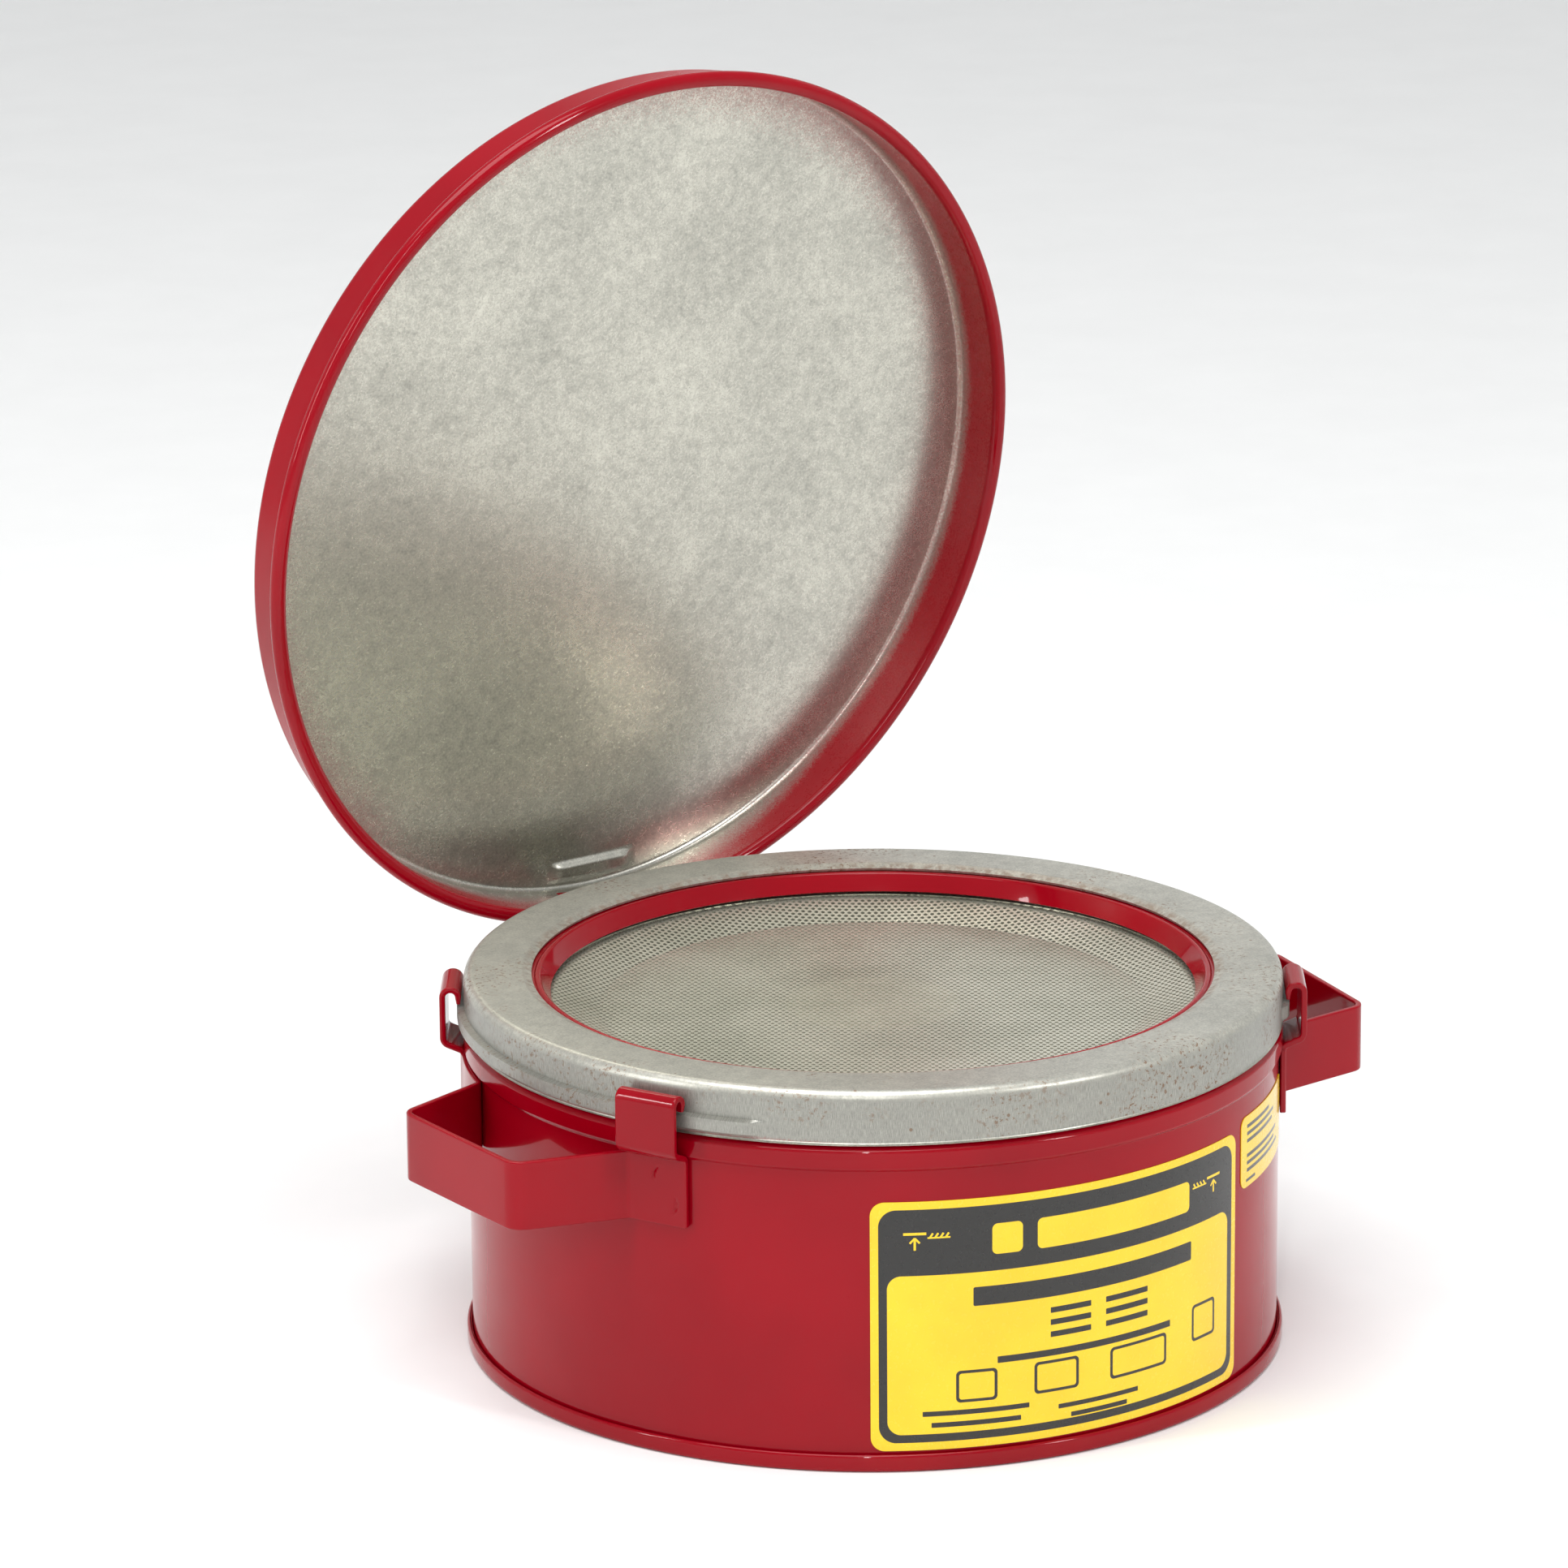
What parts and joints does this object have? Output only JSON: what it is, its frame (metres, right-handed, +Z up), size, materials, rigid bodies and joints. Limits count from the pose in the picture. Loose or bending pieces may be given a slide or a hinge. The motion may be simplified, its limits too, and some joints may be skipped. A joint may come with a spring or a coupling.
{
  "type": "parts washer tank",
  "caption": "Bench-top parts washer can: round steel tank with side handles, clipped-on cover ring, hinged dished lid and spring-carried perforated dasher.",
  "frame": {"origin": "centre of the base, on the surface that the can stands on", "axes": "+Z up along the can's axis, -Y towards the middle of the main label, handles towards -X and +X"},
  "size_m": [0.295, 0.2679, 0.3612],
  "materials": {
    "red_enamel": "gloss baked enamel on sheet steel",
    "zinc_steel": "galvanised sheet steel, brushed skirt, light rust specks",
    "perforated_steel": "zinc plated perforated sheet steel",
    "spring_wire": "drawn spring wire, zinc plated",
    "label_vinyl": "printed yellow and black vinyl film",
    "seal_rubber": "matt black rubber"
  },
  "bodies": {
    "can": {"can_shell": "red_enamel", "can_bottom": "red_enamel", "handle_left": "red_enamel", "handle_right": "red_enamel", "main_label": "label_vinyl", "side_label": "label_vinyl", "spring_seat": "zinc_steel", "dasher_spring": "spring_wire"},
    "cover": {"cover_ring": "zinc_steel", "dasher_collar": "red_enamel", "cover_gasket": "seal_rubber", "ring_hinge_leaf": "zinc_steel", "hinge_pin": "zinc_steel"},
    "lid": {"lid_pan": "red_enamel", "lid_hinge_leaf": "zinc_steel"},
    "dasher": {"dasher_dish": "perforated_steel", "dasher_rim": "perforated_steel", "spring_cup": "zinc_steel"}
  },
  "joints": [
    {"name": "cover_twist", "type": "hinge", "parent": "can", "child": "cover", "pos_m": [0, 0, 0.1], "axis": [0, 0, 1], "range_deg": [-30, 30]},
    {"name": "lid_hinge", "type": "hinge", "parent": "cover", "child": "lid", "pos_m": [-0.01697, 0.12889, 0.1], "axis": [-0.9914, -0.1305, 0], "range_deg": [-81.8, 7]},
    {"name": "dasher_plunge", "type": "slide", "parent": "can", "child": "dasher", "axis": [0, 0, 1], "range_m": [-0.055, 0], "stiffness_N_per_m": 400, "springref_m": 0.02, "deforming": ["dasher_spring"]}
  ]
}
